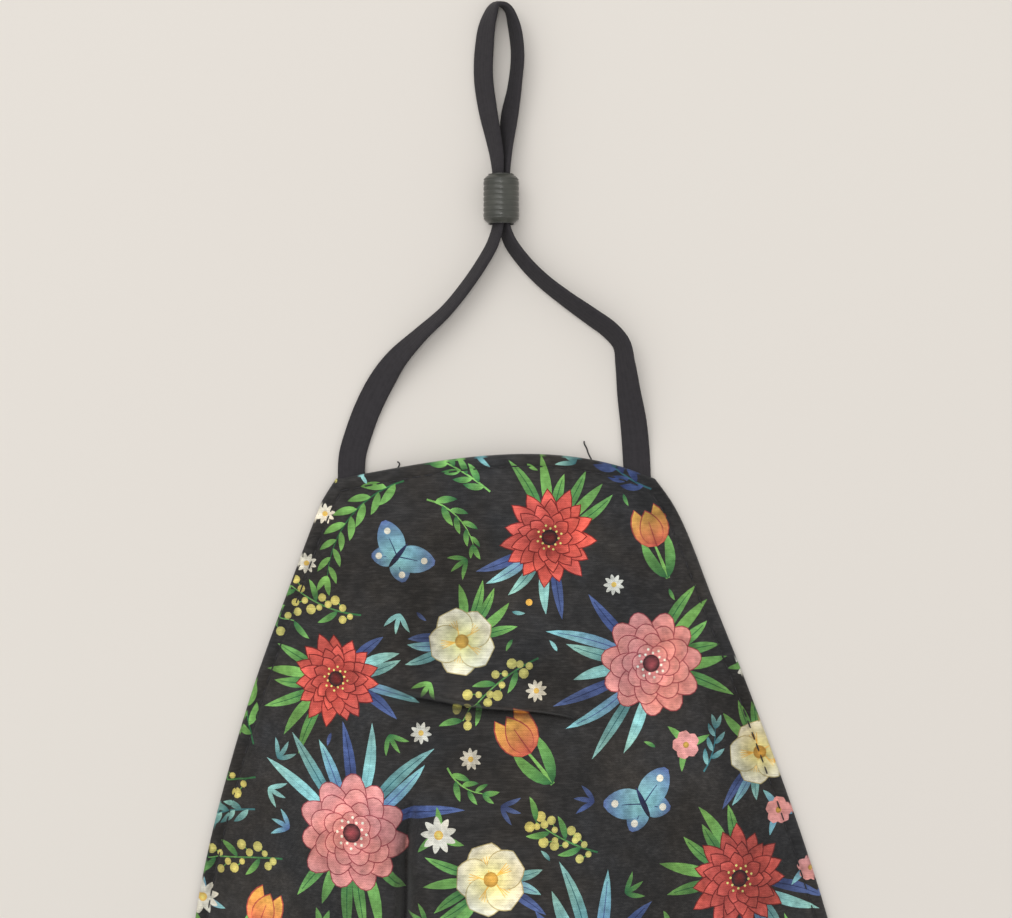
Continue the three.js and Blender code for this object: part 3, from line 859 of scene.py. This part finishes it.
def cloth_panel(name, folds, features, seed, mirror):
    """One half of the body: the printed outer face, the rolled edge and the lining, as one closed mesh."""
    lines = [edge_line(edge, inset, 60 if edge == "ear" else 90) for edge in EDGES for inset in HEM_LINES]
    lines += [[(x, y) for x in np.linspace(-BODY_WIDTH / 2, BODY_WIDTH / 2, 60)] for y in SEAM_LINES]
    creases = [line for fold in folds if fold[3] < CREASE_WIDTH for line in crease_lines(fold, 50)]
    ink = panel_print(features, seed)
    points = grid_points(1.7, 0.5)
    shapes = [shape[0] for shape in ink.shapes]
    places, triangles, owners = triangulate(panel_outline(), points, lines + creases, shapes)
    height = face_height(folds, seed)
    top = np.column_stack([places, height(places)])
    colours = np.empty((len(triangles), 3, 3))
    colours[:] = CHARCOAL
    for number in np.unique(owners[owners >= 0]):
        mine = owners == number
        colours[mine] = ink.colour_at(number, places[triangles[mine]])

    rim = rim_of(triangles)
    under_lines = [edge_line(edge, inset, 60) for edge in EDGES for inset in LINING_LINES]
    under_lines = [line[line[:, 1] > 0.6] for line in under_lines + creases]
    under_places, under_triangles, _ = triangulate(places[rim], grid_points(4.0, 2.0), under_lines, [])
    order = {tuple(np.round(under_places[k], 5)): k for k in rim_of(under_triangles)}
    matches = [order[tuple(np.round(places[k], 5))] for k in rim]
    under = np.column_stack([under_places, inner_height(under_places, height(under_places))])

    # The rolled edge between the two faces, which stays straight at the seam
    high, low = top[rim], under[matches]
    forward = np.roll(high, -1, 0) - np.roll(high, 1, 0)
    outward = np.column_stack([forward[:, 1], -forward[:, 0]])
    outward = outward / np.linalg.norm(forward[:, :2], axis=1)[:, None]
    reach = np.where(high[:, 1] < 0.02, 0.0, EDGE_ROUNDING)[:, None]
    bands = []
    for share in (0.3, 0.5, 0.72):
        bulge = math.sin(math.pi * share) * reach
        z = high[:, 2] * (1 - share) + low[:, 2] * share
        bands.append(np.column_stack([high[:, :2] + outward * bulge, z]))

    vertices = np.concatenate([top, *bands, under])
    length = len(rim)
    under_first = len(top) + len(bands) * length
    rows = [np.array(rim)] + [len(top) + k * length + np.arange(length) for k in range(len(bands))]
    rows.append(under_first + np.array(matches))
    rim_colour = {}
    for triangle, tints in zip(triangles.tolist(), colours):
        for corner, tint in zip(triangle, tints):
            rim_colour.setdefault(corner, tint)
    rim_tints = np.array([rim_colour[k] for k in rim])
    faces = triangles.tolist()
    tints = [colours.reshape(-1, 3)]
    for level, (upper, lower) in enumerate(zip(rows[:-1], rows[1:])):
        fade = 1.0 if level < 2 else 0.0
        mixed = rim_tints * fade + np.array(CHARCOAL) * (1 - fade)
        for k in range(length):
            after = (k + 1) % length
            faces.append([int(upper[k]), int(lower[k]), int(lower[after]), int(upper[after])])
            tints.append(mixed[[k, k, after, after]])
    faces += [[under_first + k for k in triangle[::-1]] for triangle in under_triangles.tolist()]
    tints.append(np.tile(CHARCOAL, (3 * len(under_triangles), 1)))
    tints = np.concatenate(tints)
    normals = np.zeros((len(vertices), 3))
    normals[:len(top)] = surface_normals(places, height)
    if mirror:
        vertices[:, 1] *= -1
        normals[:, 1] *= -1
        faces = [face[::-1] for face in faces]
        tints = mirrored_corners(faces, tints)

    piece = add_piece(name, vertices, faces)
    layer = piece.data.color_attributes.new("print", "FLOAT_COLOR", "CORNER")
    layer.data.foreach_set("color", np.column_stack([tints, np.ones(len(tints))]).ravel())
    piece.data.normals_split_custom_set_from_vertices(normals.tolist())
    return piece


def mirrored_corners(faces, tints):
    """The corner colours of faces whose corners were put in the opposite order."""
    order = []
    first = 0
    for face in faces:
        order += range(first + len(face) - 1, first - 1, -1)
        first += len(face)
    return tints[order]


def surface_normals(places, height):
    """The upward normals of a height over the plan."""
    step = 0.12
    ahead, behind = height(places + (step, 0)), height(places - (step, 0))
    above, below = height(places + (0, step)), height(places - (0, step))
    slopes = np.column_stack([behind - ahead, below - above, np.full(len(places), 2 * step)])
    return slopes / np.linalg.norm(slopes, axis=1)[:, None]


def through_lock(side):
    """The strand's two points inside the cord lock."""
    tilt = math.radians(STRAND_TILT)
    apart = (ELASTIC_THICKNESS + STRAND_GAP) / 2
    roll = STRAND_TILT if side < 0 else 180 - STRAND_TILT
    near = LOCK_LOW[1] - PANEL_LENGTH
    ends = [near, near + LOCK_LENGTH]
    z = LOCK_DIAMETER / 2 - side * apart * math.cos(tilt)
    rows = [(side * apart * math.sin(tilt), y, z, SQUEEZED_SHARE, roll) for y in ends]
    return rows if side < 0 else rows[::-1]


def ear_loop(name, mirror):
    """The flat elastic, as a tube that follows its route, and the points that it follows."""
    route = NOSE_STRAP + through_lock(-1) + FINGER_LOOP + through_lock(1) + CHIN_STRAP
    rows = np.array(route, float)
    rows[:, 0] += LOCK_AXIS_X
    rows[:, 1] += PANEL_LENGTH
    rows[[0, -1], 1] -= SEWN_IN
    run = run_along(rows[:, :3])
    count = 420
    places = np.linspace(0, run[-1], count)
    x, y, z, share, roll = (smooth(run, rows[:, k], places) for k in range(5))
    roll = np.radians(roll)
    width = ELASTIC_WIDTH * share
    rest = width / 2 * np.abs(np.sin(roll)) + ELASTIC_THICKNESS / 2 * np.abs(np.cos(roll))
    centres = np.column_stack([x, y, np.maximum(z, rest)])
    tangents = np.gradient(centres, axis=0)
    tangents /= np.linalg.norm(tangents, axis=1)[:, None]
    level = np.cross(tangents, (0, 0, 1))
    level /= np.linalg.norm(level, axis=1)[:, None]
    upright = np.cross(level, tangents)
    broad = level * np.cos(roll)[:, None] + upright * np.sin(roll)[:, None]
    thin = np.cross(broad, tangents)
    sides = 28
    turns = np.arange(sides) / sides * math.tau
    flat = np.sign(np.cos(turns)) * np.abs(np.cos(turns)) ** 0.75
    thick = np.sign(np.sin(turns)) * np.abs(np.sin(turns)) ** 0.35
    cord_rows = 1 + 0.02 * np.cos(flat * math.pi * 7)
    points = (
        centres[:, None]
        + broad[:, None] * (flat[None, :, None] * width[:, None, None] / 2)
        + thin[:, None] * ((thick * cord_rows)[None, :, None] * ELASTIC_THICKNESS / 2)
    ).reshape(-1, 3)
    points[:, 2] = np.maximum(points[:, 2], 0.02)
    if mirror:
        points[:, 1] *= -1
        centres[:, 1] *= -1
    way = 1 if mirror else -1
    faces, corners = [], []
    for k in range(count - 1):
        start, end = places[k] / 10, places[k + 1] / 10
        for s in range(sides):
            t = (s + 1) % sides
            face = [k * sides + s, k * sides + t, (k + 1) * sides + t, (k + 1) * sides + s]
            left, right = s / sides, (s + 1) / sides
            faces.append(face[::way])
            corners += [(left, start), (right, start), (right, end), (left, end)][::way]
    for ring, turn in ((0, -way), (count - 1, way)):
        faces.append([ring * sides + s for s in range(sides)][::turn])
        corners += [(0.5, 0.0)] * sides
    piece = add_piece(name, points, faces)
    piece.data.uv_layers.new(name="band").data.foreach_set("uv", np.array(corners).ravel())
    path = [tuple(p * MM) for p in centres[::6]] + [tuple(centres[-1] * MM)]
    return piece, path


def cord_lock(name, mirror):
    """The ribbed rubber sleeve, turned about its axis, with rounded ribs and ends."""
    radius, end, bore = LOCK_DIAMETER / 2, LOCK_LENGTH / 2, LOCK_BORE / 2
    profile = [(bore, end - BORE_ROUNDING), (bore, -end + BORE_ROUNDING)]
    profile += [(bore + BORE_ROUNDING, -end), (radius - LOCK_ROUNDING, -end)]
    y = np.linspace(-end, end, 121)
    turns = (y + end - RIB_MARGIN) / (2 * end - 2 * RIB_MARGIN) * RIB_COUNT
    groove = RIB_GROOVE * bell(turns - np.round(turns), 0.15)
    ends = LOCK_ROUNDING * np.clip((np.abs(y) - (end - LOCK_ROUNDING)) / LOCK_ROUNDING, 0, 1)
    profile += [(radius - g - e, v) for v, g, e in zip(y, groove, ends)][1:-1]
    profile += [(radius - LOCK_ROUNDING, end), (bore + BORE_ROUNDING, end)]
    steps = 72
    middle = Vector((LOCK_AXIS_X, (LOCK_LOW[1] + LOCK_HIGH[1]) / 2, radius))
    vertices = []
    for k in range(steps):
        angle = math.tau * k / steps
        for r, along in profile:
            place = middle + Vector((r * math.cos(angle), along, r * math.sin(angle)))
            vertices.append((place.x, -place.y if mirror else place.y, max(place.z, 0.0)))
    count = len(profile)
    faces = []
    for k in range(steps):
        for j in range(count):
            a, b = k * count + j, k * count + (j + 1) % count
            c, d = ((k + 1) % steps) * count + (j + 1) % count, ((k + 1) % steps) * count + j
            faces.append((a, d, c, b) if mirror else (a, b, c, d))
    return add_piece(name, vertices, faces)


def stitch(vertices, faces, start, end, normal):
    """One thread stitch: a short rounded bar that dips into the cloth at both ends."""
    forward = end - start
    side = np.cross(forward, normal)
    side /= np.linalg.norm(side)
    first = len(vertices)
    sides = 8
    rings = ((0.0, 0.35, -0.5), (0.15, 0.85, 0.3), (0.5, 1.0, 0.55), (0.85, 0.85, 0.3), (1.0, 0.35, -0.5))
    for share, size, up in rings:
        centre = start + forward * share + normal * up * STITCH_WIDTH * 0.5
        for k in range(sides):
            angle = math.tau * k / sides
            spoke = side * math.cos(angle) + normal * math.sin(angle) * 0.8
            vertices.append(centre + spoke * STITCH_WIDTH / 2 * size)
    last = first + (len(rings) - 1) * sides
    for ring in range(first, last, sides):
        for k in range(sides):
            a, b = ring + k, ring + (k + 1) % sides
            faces.append((a, a + sides, b + sides, b))
    faces.append(tuple(range(first, first + sides)))
    faces.append(tuple(range(last, last + sides))[::-1])


def topstitching(name, folds, seed, mirror):
    """The stitches round the hem and along the centre seam."""
    lines = {edge: edge_line(edge, HEM_WIDTH, 600) for edge in EDGES}
    seam_x = np.linspace(-BODY_WIDTH / 2 + HEM_WIDTH, BODY_WIDTH / 2 - HEM_WIDTH, 600)
    lines["seam"] = np.column_stack([seam_x, np.full(600, SEAM_ROW)])
    height = face_height(folds, seed)
    vertices, faces = [], []
    for edge, line in lines.items():
        run = run_along(line)
        starts = np.arange(0.6, run[-1] - STITCH_PITCH, STITCH_PITCH)
        ends = starts + STITCH_PITCH - STITCH_GAP
        a, b = (np.column_stack([np.interp(v, run, line[:, k]) for k in range(2)]) for v in (starts, ends))
        middle = (a + b) / 2
        near = distance_to_edges(middle, edge)
        high_a, high_b = (np.column_stack([points, height(points)]) for points in (a, b))
        normals = surface_normals(middle, height)
        for k in np.nonzero((near > HEM_WIDTH - 0.4) & (middle[:, 1] > 1.5))[0]:
            stitch(vertices, faces, high_a[k], high_b[k], normals[k])
    vertices = np.array(vertices)
    if mirror:
        vertices[:, 1] *= -1
        faces = [face[::-1] for face in faces]
    return add_piece(name, vertices, faces)


def loose_thread(name, points, width):
    """A loose end of thread that stands out of the ear edge."""
    curve = bpy.data.curves.new(name, "CURVE")
    curve.dimensions = "3D"
    curve.bevel_depth = width / 2 * MM
    curve.bevel_resolution = 2
    curve.use_fill_caps = True
    spline = curve.splines.new("NURBS")
    spline.points.add(len(points) - 1)
    for point, place in zip(spline.points, points):
        point.co = (*(v * MM for v in place), 1.0)
    spline.order_u = 4
    spline.use_endpoint_u = True
    piece = bpy.data.objects.new(name, curve)
    bpy.context.collection.objects.link(piece)
    return piece


class Nodes:
    """A short way to write a material's nodes."""

    def __init__(self, name):
        self.material = bpy.data.materials.new(name)
        self.material.use_nodes = True
        self.tree = self.material.node_tree
        self.shader = self.tree.nodes["Principled BSDF"]
        self.place = self.add("ShaderNodeTexCoord").outputs["Object"]

    def add(self, kind, **settings):
        node = self.tree.nodes.new(kind)
        for key, value in settings.items():
            setattr(node, key, value)
        return node

    def link(self, output, socket):
        if isinstance(output, (int, float, tuple)):
            socket.default_value = output
        else:
            self.tree.links.new(output, socket)

    def split(self, vector):
        node = self.add("ShaderNodeSeparateXYZ")
        self.link(vector, node.inputs[0])
        return node.outputs

    def math(self, operation, *inputs):
        node = self.add("ShaderNodeMath", operation=operation)
        for value, socket in zip(inputs, node.inputs):
            self.link(value, socket)
        return node.outputs[0]

    def times(self, product, *factors):
        for factor in factors:
            product = self.math("MULTIPLY", product, factor)
        return product

    def mix(self, share, first, second, blend="MIX"):
        node = self.add("ShaderNodeMix", data_type="RGBA", blend_type=blend)
        self.link(share, node.inputs["Factor"])
        self.link(first, node.inputs[6])
        self.link(second, node.inputs[7])
        return node.outputs[2]

    def noise(self, scale, detail=3.0, roughness=0.5, place=None):
        node = self.add("ShaderNodeTexNoise")
        self.link(place or self.place, node.inputs["Vector"])
        node.inputs["Scale"].default_value = scale
        node.inputs["Detail"].default_value = detail
        node.inputs["Roughness"].default_value = roughness
        return node.outputs["Fac"]

    def spread(self, value, to_low=0.0, to_high=1.0, low=0.3, high=0.7):
        """A value between low and high, brought to between two others."""
        node = self.add("ShaderNodeMapRange")
        for number, item in enumerate((value, low, high, to_low, to_high)):
            self.link(item, node.inputs[number])
        return node.outputs[0]

    def bump(self, height, strength, distance=0.0001, normal=None):
        node = self.add("ShaderNodeBump")
        node.inputs["Strength"].default_value = strength
        node.inputs["Distance"].default_value = distance
        self.link(height, node.inputs["Height"])
        if normal:
            self.link(normal, node.inputs["Normal"])
        return node.outputs["Normal"]

    def set(self, **values):
        for key, value in values.items():
            self.link(value, self.shader.inputs[key.replace("_", " ")])
        return self.material


def weave(nodes, pitch):
    """The height of a plain weave over the piece's own coordinates, from 0 to 1, slightly uneven."""
    wobble = nodes.noise(160.0, 2.0)
    places = nodes.split(nodes.place)
    waves = []
    for axis in range(2):
        turned = nodes.math("MULTIPLY_ADD", places[axis], math.tau / pitch, nodes.times(wobble, 2.5))
        waves.append(nodes.math("SINE", turned))
    ribbed = nodes.math("MULTIPLY_ADD", waves[1], 0.45, nodes.times(*waves))
    return nodes.spread(ribbed, low=-1.45, high=1.45)


def printed_cloth():
    """Charcoal plain-weave cotton with its print, darker in the weave's hollows and lighter on the threads'
    tops: painted shade of the weave, and partly the print lying in the threads' tops.
    """
    nodes = Nodes("printed_cloth")
    threads = weave(nodes, 0.00046)
    ink = nodes.add("ShaderNodeVertexColor", layer_name="print").outputs["Color"]
    mottle = nodes.noise(420.0, 4.0, 0.6)
    cloud = nodes.noise(55.0, 4.0)
    drawn = nodes.add("ShaderNodeMapping")
    nodes.link(nodes.place, drawn.inputs["Vector"])
    drawn.inputs["Scale"].default_value = (0.16, 1.0, 1.0)
    streak = nodes.noise(2200.0, 3.0, 0.6, drawn.outputs[0])
    # The tone: the weave's height as painted shade in its hollows and lighter tops, times random mottling,
    # clouds and streaks
    shade = nodes.times(
        nodes.spread(threads, 0.74, 1.12, 0.0, 1.0),
        nodes.spread(mottle, 0.66, 1.3),
        nodes.spread(cloud, 0.6, 1.34, 0.32, 0.68),
        nodes.spread(streak, 0.84, 1.14),
    )
    warmth = nodes.spread(nodes.noise(70.0, 2.0), low=0.35, high=0.65)
    tint = nodes.mix(warmth, (0.92, 0.99, 1.08, 1), (1.08, 1.0, 0.9, 1))
    grey = nodes.add("ShaderNodeCombineColor")
    for socket in grey.inputs:
        nodes.link(shade, socket)
    colour = nodes.mix(1.0, ink, nodes.mix(1.0, grey.outputs[0], tint, "MULTIPLY"), "MULTIPLY")
    lint = nodes.times(nodes.spread(streak, 0.0, 0.035, 0.45, 0.75), nodes.spread(mottle, 0.4, 1.4, 0.35))
    colour = nodes.mix(lint, colour, (0.42, 0.40, 0.38, 1))
    normal = nodes.bump(threads, 0.5, 0.00012)
    normal = nodes.bump(nodes.noise(2600.0, 2.0), 0.25, normal=normal)
    return nodes.set(Base_Color=colour, Roughness=nodes.spread(mottle, 0.82, 0.96), Normal=normal,
                     Specular_IOR_Level=0.25, Sheen_Weight=0.12, Sheen_Roughness=0.5)


def elastic_material():
    """Charcoal knitted elastic, with lengthwise cords and a fine crosswise knit."""
    nodes = Nodes("elastic")
    band = nodes.split(nodes.add("ShaderNodeUVMap", uv_map="band").outputs["UV"])
    cords = nodes.math("SINE", nodes.times(band[0], math.tau * 22))
    rows = nodes.times(band[1], math.tau * 17)
    knit = nodes.math("SINE", nodes.math("MULTIPLY_ADD", nodes.math("ABSOLUTE", cords), 1.6, rows))
    height = nodes.spread(nodes.math("MULTIPLY_ADD", knit, 0.5, cords), low=-1.5, high=1.5)
    mottle = nodes.noise(900.0)
    # Darker where the knit is low: painted shade in the knit's hollows, times random mottling
    shade = nodes.times(nodes.spread(height, 0.86, 1.02, 0.0, 1.0), nodes.spread(mottle, 0.85, 1.12))
    colour = nodes.mix(shade, (0.0075, 0.0071, 0.008, 1), (0.0345, 0.032, 0.0357, 1))
    normal = nodes.bump(mottle, 0.3, normal=nodes.bump(height, 0.4))
    return nodes.set(Base_Color=colour, Roughness=0.9, Normal=normal, Specular_IOR_Level=0.2,
                     Sheen_Weight=0.05, Sheen_Roughness=0.45)


def rubber_material():
    """Dark grey-green satin rubber with faint handling marks."""
    nodes = Nodes("soft_rubber")
    cloud = nodes.noise(260.0)
    colour = nodes.mix(nodes.spread(cloud), (0.038, 0.040, 0.034, 1), (0.062, 0.064, 0.054, 1))
    normal = nodes.bump(nodes.noise(1800.0), 0.12)
    return nodes.set(Base_Color=colour, Roughness=nodes.spread(cloud, 0.26, 0.38), Normal=normal)


def thread_material():
    """Near-black sewing thread with its twist."""
    nodes = Nodes("thread")
    twist = nodes.noise(3000.0, 2.0)
    colour = nodes.mix(nodes.spread(twist), (0.008, 0.008, 0.009, 1), (0.03, 0.028, 0.032, 1))
    return nodes.set(Base_Color=colour, Roughness=0.7, Normal=nodes.bump(twist, 0.4, 0.00008))


def table_material():
    """A pale warm matt surface."""
    nodes = Nodes("table")
    cloud = nodes.spread(nodes.noise(3.0, 2.0))
    colour = nodes.mix(cloud, (0.70, 0.665, 0.625, 1), (0.72, 0.69, 0.645, 1))
    return nodes.set(Base_Color=colour, Roughness=0.75, Normal=nodes.bump(nodes.noise(500.0), 0.08))


def camera():
    data = bpy.data.cameras.new("camera")
    data.sensor_width = SENSOR_WIDTH
    data.lens = SENSOR_WIDTH * VIEW_HEIGHT / VIEW_WIDTH
    data.clip_start = 0.01
    view = bpy.data.objects.new("camera", data)
    view.location = (VIEW_X * MM, VIEW_Y * MM, VIEW_HEIGHT * MM)
    bpy.context.collection.objects.link(view)
    bpy.context.scene.camera = view


def lamp(name, place, target, size, power, colour):
    data = bpy.data.lights.new(name, "AREA")
    data.shape = "DISK"
    data.size = size
    data.energy = power
    data.color = colour
    light = bpy.data.objects.new(name, data)
    light.location = place
    light.rotation_euler = (Vector(target) - Vector(place)).to_track_quat("-Z", "Y").to_euler()
    bpy.context.collection.objects.link(light)


def surroundings():
    mesh = bpy.data.meshes.new("table")
    reach = 4.0
    corners = [(-reach, -reach, 0), (reach, -reach, 0), (reach, reach, 0), (-reach, reach, 0)]
    mesh.from_pydata(corners, [], [(0, 1, 2, 3)])
    floor = bpy.data.objects.new("table", mesh)
    bpy.context.collection.objects.link(floor)
    floor.data.materials.append(table_material())
    lamp("window", (-0.45, 0.8, 1.25), (0, 0.1, 0), 1.3, 7.6, (1.0, 0.99, 0.975))
    lamp("room", (0.7, -0.3, 1.2), (0, 0.1, 0), 1.2, 1.0, (1.0, 0.96, 0.93))
    lamp("ceiling", (-0.03, 0.16, 1.0), (0, 0.16, 0), 0.12, 1.2, (1.0, 0.99, 0.97))
    world = bpy.data.worlds.new("room")
    world.use_nodes = True
    background = world.node_tree.nodes["Background"]
    background.inputs["Color"].default_value = (1.0, 0.985, 0.965, 1)
    background.inputs["Strength"].default_value = 0.69
    bpy.context.scene.world = world
    bpy.context.scene.view_settings.view_transform = "Standard"


camera()
surroundings()
materials = {
    "printed_cloth": printed_cloth(),
    "elastic": elastic_material(),
    "soft_rubber": rubber_material(),
    "thread": thread_material(),
}


def dress(piece, material):
    piece.data.materials.append(materials[material])
    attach(piece, "root")


HALVES = {
    "left": (LEFT_FOLDS, LEFT_FEATURES, 11, False),
    "right": (RIGHT_FOLDS, RIGHT_FEATURES, 23, True),
}
for half, (folds, features, seed, mirror) in HALVES.items():
    lock = cord_lock(f"{half}_ribbed_lock", mirror)
    dress(lock, "soft_rubber")
    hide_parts(f"{half}_cord_lock")

    elastic, path = ear_loop(f"{half}_elastic", mirror)
    dress(elastic, "elastic")
    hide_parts(f"{half}_ear_loop")

    cloth = cloth_panel(f"{half}_cloth", folds, features, seed, mirror)
    dress(cloth, "printed_cloth")
    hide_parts(f"{half}_panel")
    stitches = topstitching(f"{half}_topstitching", folds, seed, mirror)
    dress(stitches, "thread")

# Two loose thread ends that stand out of the ear edge
THREAD_WIDTH = 0.32
THREADS = {
    "long_thread": [
        (15.3, 116.0, 1.2), (14.9, 117.1, 1.7), (14.3, 118.0, 1.9), (14.0, 119.0, 1.6), (13.8, 119.8, 1.1),
        (13.3, 120.4, 0.8), (13.4, 120.9, 0.5),
    ],
    "short_thread": [
        (-25.9, 114.6, 1.5), (-25.6, 115.4, 1.9), (-25.2, 115.9, 1.7), (-25.3, 116.4, 1.1),
        (-25.7, 116.6, 0.7),
    ],
}
for name, points in THREADS.items():
    thread = loose_thread(name, points, THREAD_WIDTH)
    dress(thread, "thread")
